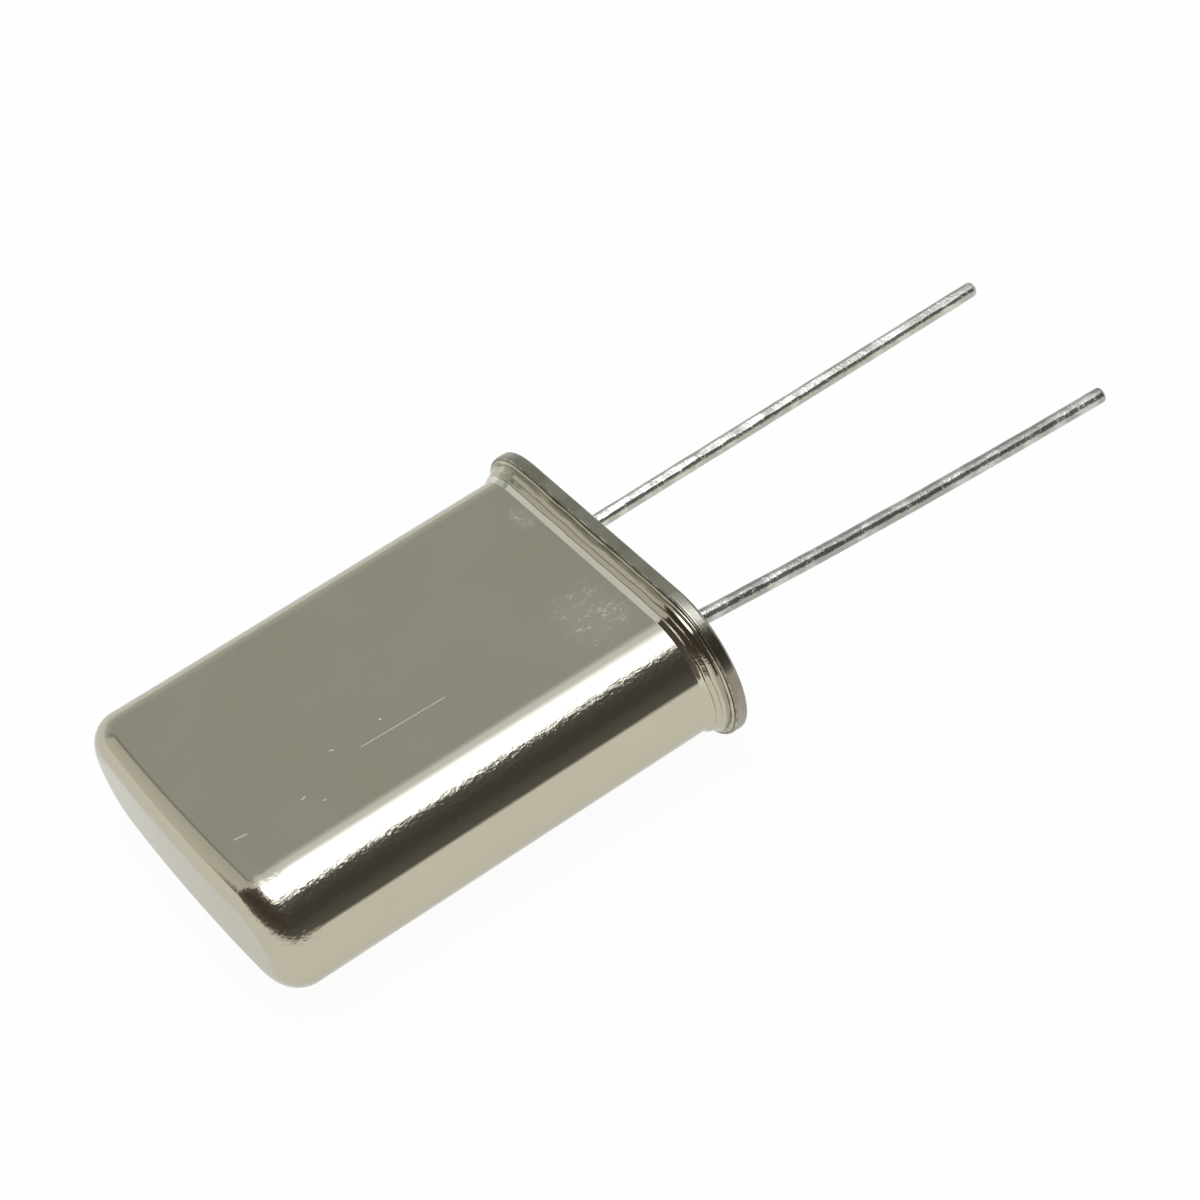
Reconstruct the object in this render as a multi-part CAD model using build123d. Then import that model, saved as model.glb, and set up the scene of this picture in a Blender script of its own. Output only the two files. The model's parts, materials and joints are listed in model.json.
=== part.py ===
from build123d import *
import math
import os

# A two-lead quartz crystal unit in a drawn metal can with a resistance-welded foot.
# Millimetres, +Z up. Every piece is first made upright, can above and leads below the
# seating plane Z = 0, with its width along X and its depth along Y. lay_down() then puts
# it where it comes to rest: on one broad side, leads along +X, origin below the middle.

# Drawn can
overall_height = 13.45  # seating plane to the top of the crown
can_width = 10.15
can_depth = 3.6
sheet = 0.22  # the can is drawn from one sheet of this thickness
crown_corner = 0.83  # outside radius round the crown
crown_rise = 0.18  # the crown is higher in the middle than at its two ends by this
foot_radius = 0.2  # outside radius between the wall and the foot
foot_step = 0.06  # the foot stops this far inside the edge of the base

# Base
foot_reach = 0.425  # the base stands this far out of the can all round
base_rim = 0.35  # thickness of the base outside the can
rim_rounding = 0.08  # rounding of the edges of the base and of the foot
platform_height = 0.75  # the raised middle, above the rim
platform_clearance = 0.1  # between the raised middle and the inside of the can
platform_rounding = 0.15

# Glass seals and leads
lead_pitch = 4.88
lead_diameter = 0.43  # outside the seating plane, where it is tinned
tin_coat = 0.01  # thickness of the tin
tin_start = 0.05  # the tin stops this far outside the seating plane
lead_length = 13.7  # outside the seating plane, along the lead
lead_tip_rounding = 0.1
post_height = 0.95  # the lead inside the can, above the raised middle
seal_diameter = 1.7
seal_hollow = 0.12  # the glass stands this much deeper at its rim than at the lead

# How lead B has been bent since it was made
bend_start = 0.85  # straight out of the seal for this far
bend_radius = 1.5
bend_angle = 4.7  # degrees, just outside the seal
bend_return = 2.8  # degrees, given back evenly along the rest of the lead
bend_direction = -58.6  # degrees from straight outwards, towards the broad side below

# Quartz blank and its two silver electrodes
blank_diameter = 8.0
blank_thickness = 0.2
blank_gap = 1.85  # from the raised middle of the base to the lower edge of the blank
electrode_diameter = 4.6
electrode_thickness = 0.03
tab_width = 1.2  # strip of the electrode that runs out to the edge of the blank

# Spring clips and conductive adhesive
clip_thickness = 0.1
clip_width = 1.1
clip_foot_gap = 0.15  # from the raised middle to the lower end of a clip
clip_bend_radius = 0.25
clip_above_blank = 1.7  # a clip reaches this far above the middle of the blank
clip_below_blank = 2.1  # and its upright part starts this far below it
blank_reach = 0.16  # the edge of the blank passes the inner face of a clip by this
slot_clearance = 0.06
adhesive_radius = 0.5

base_width = can_width + 2 * foot_reach
base_depth = can_depth + 2 * foot_reach
post_diameter = lead_diameter - 2 * tin_coat  # the bare wire in the seal and the can
seal_height = base_rim + platform_height
blank_centre = seal_height + blank_gap + blank_diameter / 2
platform_width = can_width - 2 * (sheet + platform_clearance)
platform_depth = can_depth - 2 * (sheet + platform_clearance)
clip_inner_face = blank_diameter / 2 - blank_reach
SIDES = {"a": -1, "b": 1}  # the lead on the -X side is A


def oval(width, depth):
    """Two straight sides joined by two half circles."""
    return SlotOverall(width, depth)


def drawn_cup(width, depth, bottom, top, rise, corner):
    """Solid oval cup with an arched top and a rounded corner round it."""
    block = Pos(0, 0, bottom) * extrude(oval(width, depth), top - bottom)
    side = width / 2
    arch = Polyline((-side, top - rise), (-side, bottom), (side, bottom), (side, top - rise))
    arch += ThreePointArc((side, top - rise), (0, top), (-side, top - rise))
    profile = make_face(Plane.XZ * arch)
    cup = block & extrude(profile, depth, both=True)
    rim = [e for e in cup.edges() if e.bounding_box().min.Z > (bottom + top) / 2]
    return fillet(rim, corner)


def outline_edges(solid, height, longest=True):
    """The outer or the inner loop of edges that lie at one height."""
    flat = [e for e in solid.edges() if abs(e.bounding_box().min.Z - height) < 1e-4]
    flat = [e for e in flat if abs(e.bounding_box().max.Z - height) < 1e-4]
    reach = [max(abs(e.bounding_box().min.Y), abs(e.bounding_box().max.Y)) for e in flat]
    wanted = max(reach) if longest else min(reach)
    return [e for e, r in zip(flat, reach) if abs(r - wanted) < 1e-3]


def make_can():
    foot_top = base_rim + sheet
    foot = extrude(oval(base_width - 2 * foot_step, base_depth - 2 * foot_step), sheet)
    foot = Pos(0, 0, base_rim) * foot
    foot = fillet(outline_edges(foot, foot_top), rim_rounding)
    cup = drawn_cup(can_width, can_depth, base_rim, overall_height, crown_rise, crown_corner)
    can = foot + cup
    can = fillet(outline_edges(can, foot_top, longest=False), foot_radius)
    hollow = drawn_cup(
        can_width - 2 * sheet,
        can_depth - 2 * sheet,
        base_rim,
        overall_height - sheet,
        crown_rise,
        crown_corner - sheet,
    )
    can = can - hollow
    return fillet(outline_edges(can, base_rim, longest=False), foot_radius + sheet)


def make_base():
    rim = extrude(oval(base_width, base_depth), base_rim)
    rim = fillet(outline_edges(rim, 0) + outline_edges(rim, base_rim), rim_rounding)
    platform = extrude(oval(platform_width, platform_depth), seal_height)
    platform = fillet(outline_edges(platform, seal_height), platform_rounding)
    base = rim + platform
    for side in SIDES.values():
        hole = Cylinder(seal_diameter / 2, seal_height, align=(Align.CENTER, Align.CENTER, Align.MIN))
        base -= Pos(side * lead_pitch / 2, 0, 0) * hole
    return base


def make_seal(side):
    """Glass bead round a lead, hollowed at both ends where it has drawn back."""
    inner = post_diameter / 2
    outer = seal_diameter / 2
    middle = (inner + outer) / 2
    dip = seal_hollow * 0.8  # how far the hollow has already sunk halfway out
    ring = Polyline((outer, seal_hollow), (outer, seal_height - seal_hollow))
    ring += ThreePointArc(
        (outer, seal_height - seal_hollow), (middle, seal_height - dip), (inner, seal_height)
    )
    ring += Polyline((inner, seal_height), (inner, 0))
    ring += ThreePointArc((inner, 0), (middle, dip), (outer, seal_hollow))
    bead = revolve(make_face(Plane.XZ * ring), Axis.Z)
    return Pos(side * lead_pitch / 2, 0, 0) * bead


def make_lead(side, bent):
    """Round wire: a bare post in the seal and the can, then tinned down to its tip."""
    angle = math.radians(bend_direction if side > 0 else 180 - bend_direction)
    outwards = (math.cos(angle), math.sin(angle), 0)
    across = (math.sin(angle), -math.cos(angle), 0)
    root = (side * lead_pitch / 2, 0, 0)
    plane = Plane(origin=root, x_dir=outwards, z_dir=across)
    if bent:
        rest = lead_length - bend_start - bend_radius * math.radians(bend_angle)
        long_radius = rest / math.radians(bend_return)
        bend = JernArc((0, -bend_start), (0, -1), bend_radius, bend_angle)
        far = JernArc(bend @ 1, bend % 1, long_radius, -bend_return)
        path = Line((0, -tin_start), (0, -bend_start)) + bend + far
    else:
        path = Line((0, -tin_start), (0, -lead_length))
    section = Plane(origin=plane.from_local_coords((0, -tin_start)), z_dir=(0, 0, -1))
    section = section * Circle(lead_diameter / 2)
    wire = sweep(section, path=plane * path)
    tip = wire.faces().sort_by(Axis.Z)[0]
    wire = fillet(tip.edges(), lead_tip_rounding)
    post = extrude(Circle(post_diameter / 2), tin_start + seal_height + post_height)
    return wire + Pos(root[0], 0, -tin_start) * post


def make_blank():
    disc = extrude(Plane.XZ * Circle(blank_diameter / 2), blank_thickness / 2, both=True)
    return Pos(0, 0, blank_centre) * disc


def make_electrode(face):
    """Round silver film with a tab out to the edge: face 1 is the side towards +Y."""
    tab = Pos(face * blank_diameter / 4, 0) * Rectangle(blank_diameter / 2, tab_width)
    film = (Circle(electrode_diameter / 2) + tab) & Circle(blank_diameter / 2)
    film = extrude(Plane.XZ * film, -electrode_thickness)
    near = blank_thickness / 2
    start = near if face > 0 else -near - electrode_thickness
    return Pos(0, start, blank_centre) * film


def make_clip(side):
    """Flat spring strip: welded up the lead, bent out, then upright with a slot."""
    lead_face = (lead_pitch + post_diameter + clip_thickness) / 2
    upright = clip_inner_face + clip_thickness / 2
    bend_height = seal_height + post_height
    route = FilletPolyline(
        (lead_face, seal_height + clip_foot_gap),
        (lead_face, bend_height),
        (upright, blank_centre - clip_below_blank),
        (upright, blank_centre + clip_above_blank),
        radius=clip_bend_radius,
    )
    start = Plane(origin=(lead_face, 0, seal_height + clip_foot_gap), z_dir=(0, 0, 1))
    clip = sweep(start * Rectangle(clip_thickness, clip_width), path=Plane.XZ * route)
    chord = math.sqrt((blank_diameter / 2) ** 2 - clip_inner_face**2)
    slot = Box(
        4 * clip_thickness,
        blank_thickness + 2 * slot_clearance,
        2 * (chord + slot_clearance),
    )
    clip -= Pos(upright, 0, blank_centre) * slot
    return clip if side > 0 else clip.mirror(Plane.YZ)


def make_adhesive(side, blank, electrode):
    """Two small domes, one on each face of the blank, against the inside of a clip."""
    size = 2 * adhesive_radius
    inside = Pos(side * (clip_inner_face - size / 2), 0, blank_centre) * Box(size, size, size)
    dome = Pos(side * clip_inner_face, 0, blank_centre) * Sphere(adhesive_radius)
    return (dome & inside) - blank - electrode


def resting_tilt():
    """Angle of the line that touches the edge of the base and the corner of the crown."""
    edge_out = base_depth / 2 - rim_rounding
    edge_up = base_rim - rim_rounding
    crown_out = can_depth / 2 - crown_corner
    crown_up = overall_height - crown_corner
    span = math.hypot(edge_out - crown_out, crown_up - edge_up)
    centres = math.atan2(edge_out - crown_out, crown_up - edge_up)
    return math.degrees(centres - math.asin((crown_corner - rim_rounding) / span))


def lay_down(pieces):
    """Turn the upright pieces onto their broad side and centre them over the origin."""
    turn = Rot(0, -90 - resting_tilt(), 0) * Rot(0, 0, -90)
    laid = {name: turn * piece for name, piece in pieces.items()}
    box = Compound(children=[Compound(piece.solids()) for piece in laid.values()]).bounding_box()
    shift = Pos(-box.center().X, -box.center().Y, -box.min.Z)
    return {name: shift * piece for name, piece in laid.items()}


blank = make_blank()
electrodes = {"front": make_electrode(1), "back": make_electrode(-1)}
pieces = {"can": make_can(), "base": make_base(), "quartz_blank": blank}
for face, electrode in electrodes.items():
    pieces["electrode_" + face] = electrode
for letter, side in SIDES.items():
    film = electrodes["front" if side > 0 else "back"]
    pieces["glass_seal_" + letter] = make_seal(side)
    pieces["lead_" + letter] = make_lead(side, bent=letter == "b")
    pieces["spring_clip_" + letter] = make_clip(side)
    pieces["adhesive_" + letter] = make_adhesive(side, blank, film)

os.makedirs("parts", exist_ok=True)
for name, piece in lay_down(pieces).items():
    export_step(piece, "parts/" + name + ".step")
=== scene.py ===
"""Looks of a two-lead quartz crystal unit: a drawn nickel can welded to a glass-sealed base.

Lengths are millimetres until place() turns them into metres of the row frame. Shapes are
written in the part's own directions: out (away from the can, along the leads), across
(from lead to lead) and above (out of the broad face that lies upwards), all measured from
the middle of the seating face.
"""
import functools
import json
import math

import bmesh
import bpy
import numpy as np
from mathutils import Matrix, Vector


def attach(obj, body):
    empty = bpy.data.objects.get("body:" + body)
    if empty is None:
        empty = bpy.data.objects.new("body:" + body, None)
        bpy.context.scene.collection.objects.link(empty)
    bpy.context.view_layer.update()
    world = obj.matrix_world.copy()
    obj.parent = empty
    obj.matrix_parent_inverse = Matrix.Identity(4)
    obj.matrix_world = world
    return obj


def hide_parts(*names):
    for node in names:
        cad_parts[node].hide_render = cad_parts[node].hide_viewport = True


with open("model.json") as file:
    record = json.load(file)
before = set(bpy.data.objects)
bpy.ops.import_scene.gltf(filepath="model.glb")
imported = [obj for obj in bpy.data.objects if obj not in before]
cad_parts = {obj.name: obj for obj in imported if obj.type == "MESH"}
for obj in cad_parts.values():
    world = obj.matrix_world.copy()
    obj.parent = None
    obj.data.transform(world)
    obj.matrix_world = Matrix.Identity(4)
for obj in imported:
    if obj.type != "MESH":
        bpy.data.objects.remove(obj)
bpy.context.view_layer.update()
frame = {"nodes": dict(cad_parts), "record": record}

MM = 0.001

# The part's own directions, from the seating face in the record
SEAT_MOUNT = next(m for m in frame["record"]["mounts"] if m["name"] == "seating_face")
SEAT = np.array(SEAT_MOUNT["pos_m"])
OUT = np.array(SEAT_MOUNT["axis"])
ACROSS = np.array([0.0, 1.0, 0.0])
ABOVE = np.cross(OUT, ACROSS)
AXES = np.array([OUT, ACROSS, ABOVE])


def own_points(node):
    """The node's points in the part's own directions: (point - seat) . axis, in mm."""
    points = np.array([v.co for v in frame["nodes"][node].data.vertices])
    return (points - SEAT) @ AXES.T / MM


CAN_POINTS = own_points("can")
CAN_WALL = CAN_POINTS[CAN_POINTS[:, 0] < CAN_POINTS[:, 0].min() / 2]
LEAD_POINTS = {name: own_points(name) for name in ("lead_a", "lead_b")}

# Can and base, measured on the frame, then the sizes of the bent foot
CAN_HEIGHT = -CAN_POINTS[:, 0].min()
FOOT_BOTTOM = -CAN_POINTS[:, 0].max()
HALF_DEPTH = CAN_WALL[:, 2].max()
HALF_STRAIGHT = CAN_WALL[:, 1].max() - HALF_DEPTH
FOOT_EDGE = CAN_POINTS[:, 2].max()
BASE_EDGE = own_points("base")[:, 2].max()
SHEET = 0.22
FOOT_TOP = FOOT_BOTTOM + SHEET
CROWN_CORNER = 0.83
CROWN_RISE = 0.18
FOOT_RADIUS = 0.2
LIP_ROUNDING = 0.05
# Corners of the bent foot, as (reach beyond the wall, height): a sloped face with a painted highlight
# on its upper side, a fold, a shallow band, a second fold, the crest, and the ledge that ends in the
# welded lip
FOOT_STEPS = (
    (0.000, 0.896),
    (0.117, 0.757),
    (0.100, 0.726),
    (0.120, 0.704),
    (0.182, 0.616),
    (0.165, 0.597),
    (0.182, 0.582),
    (0.262, 0.488),
    (0.268, 0.424),
)
LIP_TOP = 0.418

# Leads, measured on the frame
LEAD_LENGTH = LEAD_POINTS["lead_a"][:, 0].max()
POST_TOP = LEAD_POINTS["lead_a"][:, 0].min()
LEAD_RADIUS = np.ptp(LEAD_POINTS["lead_a"][:, 2]) / 2
LEAD_ACROSS = (LEAD_POINTS["lead_a"][:, 1].max() + LEAD_POINTS["lead_a"][:, 1].min()) / 2
TIN_COAT = 0.01
TIN_START = 0.05
BEND_START = 0.85
BEND_RADIUS = 1.5
BEND_ANGLE = 4.7
BEND_RETURN = 2.8
BEND_DIRECTION = 58.6  # below straight outwards
FLAT_FACING = 108  # the settled flat of the tin, from across, turning up

# Camera, round the seating face
CAMERA_AZIMUTH = -114.495
CAMERA_ELEVATION = 43.540
CAMERA_ROLL = -14.808
CAMERA_DISTANCE = 88.48
CAMERA_AIM = (-0.782, -0.275, 0.268)
SENSOR = 36.0
LENS = 104.127


def place(out, across, above):
    """Own directions in mm to row metres: seat + out, across and above along their axes."""
    own = np.stack([out, across, above], axis=-1)
    return SEAT + own @ AXES * MM


# ---------------------------------------------------------------- shader arithmetic


class Signal:
    """A shader socket to reckon with: each operator adds the Math node that it stands for."""

    def __init__(self, tree, socket=None):
        self.tree = tree
        self.socket = socket

    def node(self, kind, settings=None, inputs=None, output=0):
        """Any node: its type, its settings, then the values or links of its sockets."""
        made = self.tree.nodes.new(kind)
        for name, value in (settings or {}).items():
            setattr(made, name, value)
        for name, value in (inputs or {}).items():
            if isinstance(value, Signal):
                self.tree.links.new(value.socket, made.inputs[name])
            else:
                made.inputs[name].default_value = value
        return Signal(self.tree, made.outputs[output] if made.outputs else None)

    def math(self, operation, first, second=0.0):
        return self.node("ShaderNodeMath", {"operation": operation}, {0: first, 1: second})

    def __add__(self, other):
        return self.math("ADD", self, other)

    def __sub__(self, other):
        return self.math("SUBTRACT", self, other)

    def __rsub__(self, other):
        return self.math("SUBTRACT", other, self)

    def __mul__(self, other):
        return self.math("MULTIPLY", self, other)

    def __truediv__(self, other):
        return self.math("DIVIDE", self, other)

    def __abs__(self):
        return self.math("ABSOLUTE", self)

    __radd__ = __add__
    __rmul__ = __mul__

    def most(self, other):
        return self.math("MAXIMUM", self, other)

    def root(self):
        return self.math("SQRT", self)

    def rise(self, low, high):
        """0 below low, 1 above high, with a smooth step between; low may be the greater."""
        settings = {"interpolation_type": "SMOOTHSTEP"}
        return self.node("ShaderNodeMapRange", settings, {0: self, 1: low, 2: high})

    def blend(self, nothing, full):
        """The number nothing where the signal is 0, and full where it is 1."""
        return self * (full - nothing) + nothing

    def tint(self, nothing, full):
        """The colour nothing where the signal is 0, and full where it is 1."""
        return self.node(
            "ShaderNodeMix", {"data_type": "RGBA"}, {0: self, 6: nothing, 7: full}, output=2
        )

    def vector(self, x, y, z):
        return self.node("ShaderNodeCombineXYZ", None, {0: x, 1: y, 2: z})

    def noise(self, where, scale, detail=2.0):
        """Smooth noise about 0 to 1, with scale cells to each unit of where."""
        inputs = {"Vector": where, "Scale": scale, "Detail": detail}
        return self.node("ShaderNodeTexNoise", None, inputs)

    def own_axes(self):
        """Object position in the part's own directions, in mm: out, across and above."""
        position = self.node("ShaderNodeTexCoord", output=3)
        shift = {0: position, 1: tuple(SEAT)}
        moved = self.node("ShaderNodeVectorMath", {"operation": "SUBTRACT"}, shift)
        dots = []
        for axis in AXES:
            inputs = {0: moved, 1: tuple(axis / MM)}
            dots.append(
                self.node("ShaderNodeVectorMath", {"operation": "DOT_PRODUCT"}, inputs, output=1)
            )
        return dots

    def bump(self, height, depth):
        """Normal of a surface raised by height times depth, in mm."""
        inputs = {"Strength": 1.0, "Distance": depth * MM, "Height": height}
        return self.node("ShaderNodeBump", None, inputs)


def new_material(name):
    """A material with an empty tree, as the signal that starts its arithmetic."""
    material = bpy.data.materials.new(name)
    material.use_nodes = True
    material.node_tree.nodes.clear()
    return material, Signal(material.node_tree)


def finish_metal(start, colour, roughness, normal, metallic=1.0):
    """A metal surface from its three signals, into the tree's output."""
    inputs = {
        "Base Color": colour,
        "Roughness": roughness,
        "Metallic": metallic,
        "Specular Tint": EDGE_TINT,
        "Normal": normal,
    }
    surface = start.node("ShaderNodeBsdfPrincipled", None, inputs)
    start.node("ShaderNodeOutputMaterial", None, {"Surface": surface})


# ------------------------------------------------------------------------ materials

EDGE_TINT = (0.80, 0.81, 0.79, 1)
NICKEL = (0.520, 0.482, 0.378, 1)
NICKEL_WARM = (0.505, 0.463, 0.355, 1)
# Painted highlight: lighter colour for the upper side of the foot's sloped face
NICKEL_SLOPE_HIGHLIGHT = (0.710, 0.685, 0.590, 1)
# Dark brown of the foot's bands: heat tarnish mixed with painted shade
NICKEL_FOOT_TARNISH_SHADE = (0.345, 0.315, 0.240, 1)
NICKEL_WORN = (0.800, 0.780, 0.720, 1)
# The two tones that clouds or flakes of each other finish run between
BASE_TONES = ((0.355, 0.33, 0.268, 1), (0.272, 0.247, 0.19, 1))
WELD_TONES = ((0.24, 0.22, 0.17, 1), (0.55, 0.52, 0.44, 1))
TIN_A_TONES = ((0.68, 0.665, 0.585, 1), (0.49, 0.48, 0.41, 1))
TIN_B_TONES = ((0.62, 0.615, 0.55, 1), (0.40, 0.397, 0.35, 1))
CLIP_TONES = ((0.60, 0.55, 0.45, 1), (0.46, 0.38, 0.26, 1))
FILM_TONES = ((0.86, 0.85, 0.82, 1), (0.72, 0.69, 0.62, 1))
EPOXY_TONES = ((0.50, 0.48, 0.44, 1), (0.78, 0.76, 0.71, 1))
GLASS_TONES = ((0.42, 0.50, 0.46, 1), (0.30, 0.38, 0.35, 1))
QUARTZ_TONES = ((0.93, 0.95, 0.94, 1), (0.85, 0.88, 0.87, 1))
TIN_METALLIC = 0.82  # the rest is dull oxide
GLASS_IOR = 1.52
QUARTZ_IOR = 1.544

# Heights on the foot where the painted highlight of the sloped face and the bands of heat tarnish
# with painted shade fade, as (nothing, full)
SLOPE_HIGHLIGHT_TOP_FADE = (0.91, 0.89)
SLOPE_HIGHLIGHT_BOTTOM_FADE = (0.735, 0.755)
TARNISH_SHADE_TOP_FADE = (0.53, 0.50)
TARNISH_SHADE_BOTTOM_FADE = (0.41, 0.425)
SEAM_FADE = (0.375, 0.36)

# Single scratches on the upper broad face: (across, height) of both ends, and the width
SCRATCHES = (
    ((-1.64, 8.56), (-1.72, 6.13), 0.015),
    ((-2.00, 12.45), (-2.06, 12.12), 0.03),
    ((-1.18, 7.74), (-1.18, 7.70), 0.05),
    ((-2.07, 10.55), (-2.04, 10.45), 0.04),
    ((-2.49, 10.16), (-2.49, 10.12), 0.04),
    ((-1.18, 9.20), (-1.22, 9.12), 0.035),
)
# Scuffed areas: middle (across, height), half sizes
SCUFFS = (
    ((-2.0, 1.9), (1.7, 1.25)),
    ((2.2, 1.2), (0.95, 0.35)),
)


def strongest(signals):
    """The greatest of several signals."""
    return functools.reduce(Signal.most, signals)


def line_mask(across, height, end_a, end_b, width):
    """1 on a straight scratch: distance to the segment between its ends, under its width."""
    (a0, h0), (a1, h1) = end_a, end_b
    length = math.hypot(a1 - a0, h1 - h0)
    da, dh = (a1 - a0) / length, (h1 - h0) / length
    beside = abs((across - a0) * dh - (height - h0) * da)
    along = (across - a0) * da + (height - h0) * dh
    past = (along - length).most(-1.0 * along).most(0.0)
    return (beside + past).rise(width, 0.0)


def area_mask(across, height, middle, half):
    """1 in the middle of an oval area, falling to 0 at its edge."""
    u = (across - middle[0]) / half[0]
    v = (height - middle[1]) / half[1]
    return (u * u + v * v).root().rise(1.0, 0.35)


def can_metal():
    """Bright nickel over drawn sheet: peel and drawing lines, scratches and scuffs; a painted
    highlight on the upper side of the foot's sloped face, and heat tarnish mixed with painted shade
    in bands on the foot.
    """
    material, start = new_material("can_nickel")
    out, across, above = start.own_axes()
    height = -1.0 * out
    upper = above.rise(HALF_DEPTH - 0.3, HALF_DEPTH - 0.1)
    ends = abs(across).rise(HALF_STRAIGHT - 0.1, HALF_STRAIGHT + 0.5)

    place_mm = start.vector(across, above, height)
    grained = start.vector(across, above, height * 0.45)
    peel = start.noise(grained, 5.5, 4.0)
    drawn = start.noise(start.vector(across, above, height * 0.06), 8.0, 2.0)
    clouds = start.noise(place_mm, 0.35, 3.0)
    speckle = start.noise(start.vector(across, above, height * 0.6), 12.0, 4.0)
    peeled = ends * above.rise(0.9, 1.2) * above.rise(1.7, 1.5)
    crown_end = ends * height.rise(CAN_HEIGHT - 1.6, CAN_HEIGHT - 0.9) * above.rise(0.2, 0.7)
    rubbed = ends * above.rise(-0.72, -0.92) * above.rise(-1.2, -1.05)
    rubs = start.noise(start.vector(across, above, height * 0.16), 5.0, 3.0).rise(0.55, 0.63) * rubbed

    scratches = strongest([line_mask(across, height, *scratch) for scratch in SCRATCHES])
    scuffed = strongest([area_mask(across, height, *area) for area in SCUFFS])
    strokes = abs(start.noise(place_mm, 7.0, 3.0) - 0.5).rise(0.035, 0.005)
    broken = start.noise(place_mm, 3.2, 3.0).rise(0.45, 0.62)
    scuffs = scuffed * strokes * broken * upper
    marks = (scratches * upper).most(scuffs * 0.6).most(rubs * 0.5)

    colour = clouds.rise(0.35, 0.75).tint(NICKEL, NICKEL_WARM)
    wavy = height + (start.noise(place_mm, 1.3, 3.0) - 0.5) * 0.16
    # Painted highlight: the upper side of the foot's sloped face is coloured lighter, standing in for
    # the light it mirrors
    slope_highlight = height.rise(*SLOPE_HIGHLIGHT_TOP_FADE) * height.rise(*SLOPE_HIGHLIGHT_BOTTOM_FADE) * above.rise(0.4, 1.2)
    # Heat tarnish mixed with painted shade: a wavy dark band low on the foot above the lip, and the
    # seam below it, darkened in patches
    tarnish = wavy.rise(*TARNISH_SHADE_TOP_FADE) * wavy.rise(*TARNISH_SHADE_BOTTOM_FADE)
    tarnish = tarnish.most(height.rise(*SEAM_FADE))
    tarnish = tarnish * start.noise(place_mm, 0.7, 2.0).rise(0.36, 0.52)
    colour = slope_highlight.tint(colour, NICKEL_SLOPE_HIGHLIGHT)
    colour = tarnish.tint(colour, NICKEL_FOOT_TARNISH_SHADE)
    colour = marks.tint(colour, NICKEL_WORN)
    roughness = 0.06 + 0.03 * clouds + 0.14 * scuffed * upper + 0.3 * marks
    roughness = roughness + 0.14 * crown_end * speckle.rise(0.45, 0.62)
    worn = peeled.most(crown_end)
    relief = peel * worn.blend(0.1, 1.5) + speckle * worn * 2.2 + drawn * 0.12 - marks * 0.4
    finish_metal(start, colour, roughness, start.bump(relief, 0.004))
    return material


def base_metal():
    """Stamped base, plated and dulled by the weld: fine grain and brown heat clouds."""
    material, start = new_material("base_nickel")
    out, across, above = start.own_axes()
    place_mm = start.vector(across, above, out)
    clouds = start.noise(place_mm, 1.1, 3.0)
    grain = start.noise(place_mm, 14.0, 2.0)
    colour = clouds.rise(0.35, 0.7).tint(*BASE_TONES)
    roughness = 0.16 + 0.12 * grain
    finish_metal(start, colour, roughness, start.bump(grain, 0.002))
    return material


def weld_metal():
    """Ridge pressed out of the weld: dark olive with bright beads."""
    material, start = new_material("weld_ridge_metal")
    out, across, above = start.own_axes()
    place_mm = start.vector(across, above, out)
    beads = start.noise(place_mm, 3.0, 3.0)
    colour = beads.rise(0.4, 0.7).tint(*WELD_TONES)
    roughness = 0.2 + 0.15 * beads
    finish_metal(start, colour, roughness, start.bump(beads, 0.006))
    return material


def lead_tin(name, tones):
    """Dipped tin: soft lumps, a fine pitted skin, duller clouds and a thin grey oxide."""
    material, start = new_material(name)
    out, across, above = start.own_axes()
    place_mm = start.vector(across, above, out)
    lumps = start.noise(start.vector(across, above, out * 0.55), 4.0, 3.0)
    pits = start.noise(place_mm, 9.0, 3.0)
    greyed = start.noise(place_mm, 1.3, 3.0)
    colour = greyed.rise(0.40, 0.56).tint(*tones)
    roughness = 0.05 + 0.09 * pits
    relief = lumps + pits.rise(0.56, 0.70) * 0.3
    finish_metal(start, colour, roughness, start.bump(relief, 0.02), TIN_METALLIC)
    return material


def clip_metal():
    """Rolled spring strip: fine lines along the strip and a faint tarnish."""
    material, start = new_material("clip_spring_metal")
    out, across, above = start.own_axes()
    lines = start.noise(start.vector(across * 0.2, above, out * 0.05), 18.0, 2.0)
    tarnish = start.noise(start.vector(across, above, out), 0.9, 2.0)
    colour = tarnish.rise(0.4, 0.7).tint(*CLIP_TONES)
    finish_metal(start, colour, 0.2 + 0.12 * lines, start.bump(lines, 0.002))
    return material


def silver_film():
    """Evaporated silver: almost white, matt where it follows the lapped quartz."""
    material, start = new_material("silver_film")
    out, across, above = start.own_axes()
    place_mm = start.vector(across, above, out)
    lapped = start.noise(place_mm, 24.0, 2.0)
    haze = start.noise(place_mm, 0.6, 2.0)
    colour = haze.rise(0.35, 0.7).tint(*FILM_TONES)
    finish_metal(start, colour, 0.3 + 0.1 * lapped, start.bump(lapped, 0.001))
    return material


def clear_body(name, colours, roughness_span, cells, depth, ior):
    """Glass or quartz: a see-through body with clouds in its colour and a grained skin."""
    material, start = new_material(name)
    out, across, above = start.own_axes()
    place_mm = start.vector(across, above, out)
    clouds = start.noise(place_mm, 0.8, 3.0)
    grain = start.noise(place_mm, cells, 2.0)
    inputs = {
        "Base Color": clouds.rise(0.35, 0.7).tint(*colours),
        "Roughness": grain.blend(*roughness_span),
        "IOR": ior,
        "Transmission Weight": 0.8,
        "Normal": start.bump(grain, depth),
    }
    surface = start.node("ShaderNodeBsdfPrincipled", None, inputs)
    start.node("ShaderNodeOutputMaterial", None, {"Surface": surface})
    return material


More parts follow.
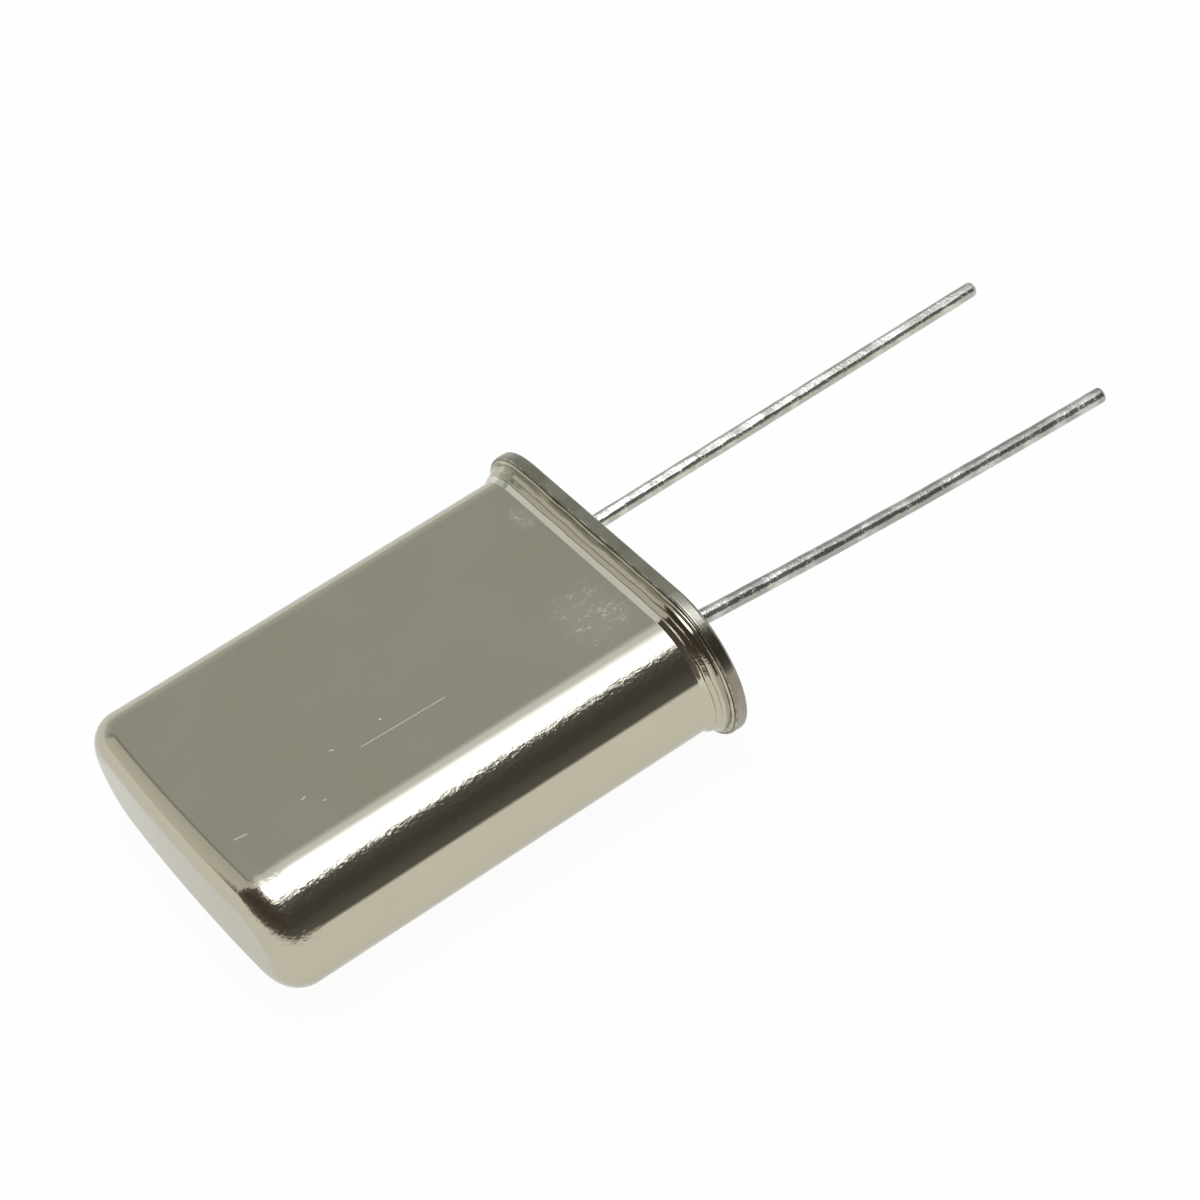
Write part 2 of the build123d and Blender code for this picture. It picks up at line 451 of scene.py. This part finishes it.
def adhesive():
    """Silver-filled epoxy: flakes in a dull grey cured drop."""
    material, start = new_material("silver_epoxy")
    out, across, above = start.own_axes()
    flakes = start.noise(start.vector(across, above, out), 16.0, 3.0)
    colour = flakes.rise(0.45, 0.6).tint(*EPOXY_TONES)
    metallic = flakes.rise(0.5, 0.65) * 0.8
    finish_metal(start, colour, 0.55 - 0.2 * flakes, start.bump(flakes, 0.01), metallic)
    return material


# --------------------------------------------------------------------------- pieces


def oval_outline(arc_steps, straight_steps):
    """Closed oval, once round: for each step the point on the middle line, and the direction
    outwards. Round ends turn evenly; straight sides have steps that shorten like a cosine
    towards both ends."""
    turn = np.linspace(-90, 90, arc_steps + 1)
    span = HALF_STRAIGHT * np.cos(np.pi * np.arange(1, straight_steps) / straight_steps)
    middle = np.concatenate(
        [np.full(turn.shape, HALF_STRAIGHT), span, np.full(turn.shape, -HALF_STRAIGHT), -span]
    )
    angle = np.concatenate(
        [turn, np.full(span.shape, 90.0), turn + 180, np.full(span.shape, 270.0)]
    )
    return middle, np.radians(angle)


def arc(centre, radius, first, last, steps):
    """Points on a circle: centre + radius (cosine, sine) of angles from first to last."""
    angle = np.radians(np.linspace(first, last, steps + 1))
    return np.column_stack([centre[0] + radius * np.cos(angle), centre[1] + radius * np.sin(angle)])


def eased(first, last, steps):
    """Points of a straight run without its ends, closer together towards both ends."""
    share = (1 - np.cos(np.pi * np.arange(1, steps) / steps)) / 2
    first, last = np.array(first), np.array(last)
    return first + share[:, None] * (last - first)


def wave_field(rng, u, v, count, cells_u, cells_v):
    """Smooth random field: the mean of count cosines with random directions and phases."""
    total = np.zeros(np.broadcast(u, v).shape)
    for _ in range(count):
        along_u, along_v = rng.uniform(-cells_u, cells_u), rng.uniform(-cells_v, cells_v)
        total += np.cos(2 * np.pi * (along_u * u + along_v * v) + rng.uniform(0, 2 * np.pi))
    return total / math.sqrt(count)


def grid_mesh(name, points, closed_rows=False):
    """Mesh of a grid of points, closed round its columns; coincident points are merged."""
    rows, columns = points.shape[:2]
    index = np.arange(rows * columns).reshape(rows, columns)
    here = index if closed_rows else index[:-1]
    below = np.roll(index, -1, axis=0) if closed_rows else index[1:]
    faces = np.stack(
        [here, np.roll(here, -1, axis=1), np.roll(below, -1, axis=1), below], axis=-1
    )
    mesh = bpy.data.meshes.new(name)
    mesh.from_pydata(points.reshape(-1, 3).tolist(), [], faces.reshape(-1, 4).tolist())
    work = bmesh.new()
    work.from_mesh(mesh)
    bmesh.ops.remove_doubles(work, verts=work.verts, dist=1e-4 * MM)
    bmesh.ops.recalc_face_normals(work, faces=work.faces)
    work.to_mesh(mesh)
    work.free()
    mesh.shade_smooth()
    piece = bpy.data.objects.new(name, mesh)
    bpy.context.scene.collection.objects.link(piece)
    return piece


def can_profile():
    """Half section of the can as (reach from the middle line, height), from the middle of the
    crown down the outside, round the foot and back up the inside."""
    corner = (HALF_DEPTH - CROWN_CORNER, CAN_HEIGHT - CROWN_CORNER)
    lip = (FOOT_EDGE - LIP_ROUNDING, LIP_TOP - LIP_ROUNDING)
    steps = [(HALF_DEPTH + beyond, height) for beyond, height in FOOT_STEPS] + [(lip[0], LIP_TOP)]
    foot = [[steps[0]]]
    for first, last in zip(steps, steps[1:]):
        foot += [eased(first, last, 6), [last]]
    bend = (HALF_DEPTH + FOOT_RADIUS, FOOT_TOP + FOOT_RADIUS)
    inner_reach = HALF_DEPTH - SHEET
    inner_top = CAN_HEIGHT - SHEET
    runs = [
        [(0, CAN_HEIGHT)],
        eased((0, CAN_HEIGHT), (corner[0], CAN_HEIGHT), 8),
        arc(corner, CROWN_CORNER, 90, 0, 28),
        eased((HALF_DEPTH, corner[1]), steps[0], 72),
        *foot,
        arc(lip, LIP_ROUNDING, 90, 0, 8),
        eased((FOOT_EDGE, lip[1]), (FOOT_EDGE, FOOT_BOTTOM), 3),
        [(FOOT_EDGE, FOOT_BOTTOM)],
        eased((FOOT_EDGE, FOOT_BOTTOM), (bend[0], FOOT_BOTTOM), 3),
        arc(bend, FOOT_RADIUS + SHEET, 270, 180, 10),
        eased((inner_reach, bend[1]), (inner_reach, corner[1]), 16),
        arc(corner, CROWN_CORNER - SHEET, 0, 90, 10),
        eased((corner[0], inner_top), (0, inner_top), 4),
        [(0, inner_top)],
    ]
    return np.vstack(runs)


def make_can():
    """Drawn can: the half section carried round the oval outline. The crown sinks by a
    parabola towards both round ends, and shallow waves of the sheet move the wall."""
    rng = np.random.default_rng(7)
    profile = can_profile()
    middle, angle = oval_outline(56, 44)
    reach, height = profile[:, :1], profile[:, 1:]
    across = middle + reach * np.cos(angle)
    above = reach * np.sin(angle)
    wall = (height - FOOT_BOTTOM) / (CAN_HEIGHT - FOOT_BOTTOM)
    sink = CROWN_RISE * (across / (HALF_STRAIGHT + HALF_DEPTH)) ** 2
    height = height - sink * np.clip(wall * 1.5 - 0.5, 0, 1)
    on_wall = np.clip((reach - 0.5 * HALF_DEPTH) / (0.5 * HALF_DEPTH), 0, 1)
    fade = np.sin(np.pi * np.clip(wall, 0, 1)) ** 0.5 * on_wall
    waves = 0.004 * wave_field(rng, across, height, 8, 0.12, 0.1) * fade
    on_foot = np.clip((reach - HALF_DEPTH - 0.01) / 0.08, 0, 1)
    pressed = np.clip(wave_field(rng, across, above, 14, 0.8, 0.8), -1.5, 1.5)
    inwards = 0.006 * on_wall + waves + (0.010 * pressed + 0.016) * on_foot
    lift = 0.010 * wave_field(rng, across + above, height, 14, 1.0, 2.5) * on_foot
    across = across - inwards * np.cos(angle)
    above = above - inwards * np.sin(angle)
    return grid_mesh("can_shell", place(lift - height, across, above))


def make_weld_ridge():
    """Thin ridge of metal round the edge of the foot: a small round section carried round the
    oval outline, thicker and thinner and wandering by a smooth random field."""
    rng = np.random.default_rng(11)
    middle, angle = oval_outline(90, 110)
    section = np.radians(np.linspace(0, 360, 12, endpoint=False))[:, None]
    way = np.cumsum(np.full(middle.shape, 1.0)) / len(middle)
    thick = 0.024 + 0.003 * wave_field(rng, way * 40, 0, 10, 1.0, 0)
    wander = 0.003 * wave_field(rng, way * 25, 0, 8, 1.0, 0)
    reach = BASE_EDGE - 0.032 + wander + thick * np.cos(section)
    height = FOOT_BOTTOM - 0.015 + thick * np.sin(section)
    across = middle + reach * np.cos(angle)
    above = reach * np.sin(angle)
    out = np.broadcast_to(-height, across.shape)
    return grid_mesh("weld_ridge", place(out, across, above), closed_rows=True)


def lead_line(distance, bent):
    """Middle line of a lead: the heading grows along the bend, then is given back evenly;
    out and aside are the running sums of its cosine and sine."""
    turned = math.radians(BEND_ANGLE) * bent
    bend_end = BEND_START + BEND_RADIUS * math.radians(BEND_ANGLE)
    heading = turned * np.clip((distance - BEND_START) / (bend_end - BEND_START), 0, 1)
    given_back = np.clip((distance - bend_end) / (LEAD_LENGTH - bend_end), 0, 1)
    heading = heading - math.radians(BEND_RETURN) * bent * given_back
    step = np.diff(distance, prepend=distance[0])
    out = distance[0] + np.cumsum(step * np.cos(heading))
    aside = np.cumsum(step * np.sin(heading))
    return out, aside, heading


def make_lead(name, side, bent, tip, flat, seed):
    """Tinned wire: a circle carried along the lead's middle line. Its radius steps down to the
    bare post inside the seal, swells and shrinks in smooth lumps, and closes over the tip.
    The tin has settled to a wandering flat, a chord at flat times the radius."""
    rng = np.random.default_rng(seed)
    straight = np.linspace(POST_TOP, LEAD_LENGTH - tip, 460)
    rounded = LEAD_LENGTH - tip + tip * np.sin(np.linspace(0, np.pi / 2, 12)[1:])
    distance = np.concatenate([straight, rounded])
    out, aside, heading = lead_line(distance, bent)
    round_angle = np.radians(np.linspace(0, 360, 36, endpoint=False))
    to_tip = np.clip((distance - (LEAD_LENGTH - tip)) / tip, 0, 1)
    close = 1 - (tip / LEAD_RADIUS) * (1 - np.sqrt(1 - to_tip**2))
    tinned = distance > TIN_START
    radius = np.where(tinned, LEAD_RADIUS, LEAD_RADIUS - TIN_COAT) * close
    down = math.radians(BEND_DIRECTION)
    aside_across, aside_above = side * math.cos(down), -math.sin(down)
    facing = np.radians(FLAT_FACING) - np.arctan2(aside_above, aside_across)
    depth = flat + 0.02 * wave_field(rng, distance[:, None], 0 * round_angle, 10, 1.1, 0)
    towards = np.maximum(np.cos(round_angle - facing), 0.1)
    dipped = np.minimum(1, depth / towards)
    lumps = wave_field(rng, distance[:, None], np.cos(round_angle), 14, 1.2, 0.35)
    shape = np.where(tinned[:, None], dipped * (1 + 0.012 * lumps), 1)
    radius = radius[:, None] * shape
    ring_aside = radius * np.cos(round_angle)
    ring_beside = radius * np.sin(round_angle)
    points_out = out[:, None] - ring_aside * np.sin(heading)[:, None]
    points_aside = aside[:, None] + ring_aside * np.cos(heading)[:, None]
    across = side * abs(LEAD_ACROSS) + points_aside * aside_across - ring_beside * aside_above
    above = points_aside * aside_above + ring_beside * aside_across
    points = np.stack([points_out, across, above], axis=-1)
    first = np.broadcast_to(points[0].mean(axis=0), points[:1].shape)
    last = np.broadcast_to(points[-1].mean(axis=0), points[:1].shape)
    points = np.concatenate([first, points, last])
    return grid_mesh(name, place(points[..., 0], points[..., 1], points[..., 2]))


# ------------------------------------------------------------------ floor and lights


def make_floor():
    """White table: lit by the room, and carried up to plain white for what looks at it."""
    bpy.ops.mesh.primitive_plane_add(size=3.0)
    floor = bpy.context.object
    floor.name = "floor"
    material, start = new_material("white_table")
    lit = start.node("ShaderNodeBsdfDiffuse", None, {"Color": (0.92, 0.92, 0.91, 1)})
    plain = start.node("ShaderNodeEmission", None, {"Strength": 1.01})
    seen = looked_at(start) * 0.94
    surface = start.node("ShaderNodeMixShader", None, {0: seen, 1: lit, 2: plain})
    start.node("ShaderNodeOutputMaterial", None, {"Surface": surface})
    floor.data.materials.append(material)


def looked_at(start):
    """1 for rays from the camera, from a mirror and through glass."""
    camera = start.node("ShaderNodeLightPath", output="Is Camera Ray")
    mirror = start.node("ShaderNodeLightPath", output="Is Glossy Ray")
    through = start.node("ShaderNodeLightPath", output="Is Transmission Ray")
    return camera.most(mirror).most(through)


# The room: levels of its areas, and where they end in degrees as (nothing, full)
PALE_LEVELS = (0.80, 0.68)  # at the horizon, and at PALE_TOP
PALE_TOP = 40
BACK_LEVELS = (0.68, 0.525)  # at the horizon, and at BACK_TOP
BACK_TOP = 24
BACK_START = (-15, 15)
BACK_END = (124.5, 122.5)
CORNER_DEPTH = 0.18  # how much darker the back wall's far corner is
CORNER_START = (116, 120.5)
CORNER_END = (123.5, 121.5)
CEILING_LEVEL = 0.5
CEILING_START = (48, 60)
OVERHEAD_LEVEL = 2.6
OVERHEAD_START = (63, 80)
FRONT_MIDDLE = math.radians(-131)  # the dark wall's middle, round the room
FRONT_LEVEL = 0.085
FRONT_TOP = (69.5, 66.5)
FRONT_FOOT = (-0.5, 4.5)
PALE_TONE = (1.0, 1.0, 0.97, 1)
BACK_TONE = (0.94, 1.0, 0.985, 1)
CEILING_TONE = (0.95, 1.0, 1.12, 1)
FRONT_TONES = ((1.0, 0.98, 0.94, 1), (1.0, 0.82, 0.72, 1))


def light_room():
    """Studio round the part: a broad soft light overhead, pale walls, a grey-green wall behind
    and a dark one in front, each a smooth area of elevation and azimuth."""
    world = bpy.data.worlds.new("studio")
    bpy.context.scene.world = world
    world.use_nodes = True
    world.node_tree.nodes.clear()
    start = Signal(world.node_tree)
    direction = start.node("ShaderNodeTexCoord", output=0)
    x, y, z = (
        start.node("ShaderNodeSeparateXYZ", None, {0: direction}, output=part) for part in range(3)
    )
    elevation = start.math("ARCSINE", z) * math.degrees(1)
    azimuth = start.math("ARCTAN2", y, x) * math.degrees(1)

    level_length = (x * x + y * y).root()
    toward = (x * math.cos(FRONT_MIDDLE) + y * math.sin(FRONT_MIDDLE)) / level_length

    walls = elevation.rise(0, PALE_TOP).blend(*PALE_LEVELS)
    back_wall = elevation.rise(0, BACK_TOP).blend(*BACK_LEVELS)
    behind = azimuth.rise(*BACK_START) * azimuth.rise(*BACK_END)
    corner = azimuth.rise(*CORNER_START) * azimuth.rise(*CORNER_END) * elevation.rise(0, 15)
    level = behind.blend(walls, back_wall) - corner * CORNER_DEPTH
    level = level + elevation.rise(*CEILING_START) * CEILING_LEVEL
    level = level + elevation.rise(*OVERHEAD_START) * OVERHEAD_LEVEL
    front = toward.rise(-0.005, 0.045) * elevation.rise(*FRONT_TOP) * elevation.rise(*FRONT_FOOT)
    front_wall = FRONT_LEVEL + elevation.rise(42, 64) * 0.06 + elevation.rise(28, 6) * 0.06
    level = front.blend(level, front_wall)

    tone = behind.tint(PALE_TONE, BACK_TONE)
    tone = elevation.rise(50, 64).tint(tone, CEILING_TONE)
    front_tone = x.rise(-0.1, -0.6).tint(*FRONT_TONES)
    tone = front.tint(tone, front_tone)

    studio = start.node("ShaderNodeBackground", None, {"Color": tone, "Strength": level})
    white = start.node("ShaderNodeBackground", None, {"Color": (1, 1, 1, 1), "Strength": 1.0})
    camera = start.node("ShaderNodeLightPath", output="Is Camera Ray")
    surface = start.node("ShaderNodeMixShader", None, {0: camera, 1: studio, 2: white})
    start.node("ShaderNodeOutputWorld", None, {"Surface": surface})


def make_camera():
    """Camera round its aim: back along azimuth and elevation, then rolled."""
    azimuth, elevation = math.radians(CAMERA_AZIMUTH), math.radians(CAMERA_ELEVATION)
    roll = math.radians(CAMERA_ROLL)
    back = Vector(
        (
            math.cos(elevation) * math.cos(azimuth),
            math.cos(elevation) * math.sin(azimuth),
            math.sin(elevation),
        )
    )
    level_right = Vector((0, 0, 1)).cross(back).normalized()
    level_up = back.cross(level_right)
    right = math.cos(roll) * level_right + math.sin(roll) * level_up
    up = math.cos(roll) * level_up - math.sin(roll) * level_right
    at = Vector(CAMERA_AIM) + CAMERA_DISTANCE * back
    own_to_row = Matrix(AXES.tolist()).transposed()
    turn = own_to_row @ Matrix((right, up, back)).transposed()
    data = bpy.data.cameras.new("camera")
    data.sensor_width = SENSOR
    data.lens = LENS
    data.clip_start = 0.005
    data.clip_end = 20
    camera = bpy.data.objects.new("camera", data)
    camera.matrix_world = Matrix.Translation(place(*at)) @ turn.to_4x4()
    bpy.context.scene.collection.objects.link(camera)
    bpy.context.scene.camera = camera


# ----------------------------------------------------------------------- the object


def dress(node, material):
    """Gives a node of the frame its material."""
    for slot in frame["nodes"][node].material_slots:
        slot.material = material


def add_piece(piece, material, node=None):
    """A new piece on the part's one body, with its finish and the node it stands for."""
    piece.data.materials.append(material)
    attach(piece, "root")
    if node:
        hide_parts(node)


make_camera()
make_floor()
light_room()

TIN_A = lead_tin("lead_tin_a", TIN_A_TONES)
TIN_B = lead_tin("lead_tin_b", TIN_B_TONES)
add_piece(make_can(), can_metal(), "can")
add_piece(make_weld_ridge(), weld_metal())
add_piece(make_lead("lead_wire_a", 1, 0, 0.16, 0.90, 3), TIN_A, "lead_a")
add_piece(make_lead("lead_wire_b", -1, 1, 0.08, 0.99, 5), TIN_B, "lead_b")

dress("base", base_metal())
GLASS = clear_body("seal_glass", GLASS_TONES, (0.06, 0.14), 6.0, 0.004, GLASS_IOR)
QUARTZ = clear_body("quartz", QUARTZ_TONES, (0.25, 0.4), 30.0, 0.002, QUARTZ_IOR)
FILM = silver_film()
SPRING = clip_metal()
EPOXY = adhesive()
dress("quartz_blank", QUARTZ)
for letter, face in (("a", "front"), ("b", "back")):
    dress("glass_seal_" + letter, GLASS)
    dress("spring_clip_" + letter, SPRING)
    dress("adhesive_" + letter, EPOXY)
    dress("electrode_" + face, FILM)

bpy.context.scene.view_settings.view_transform = "Standard"
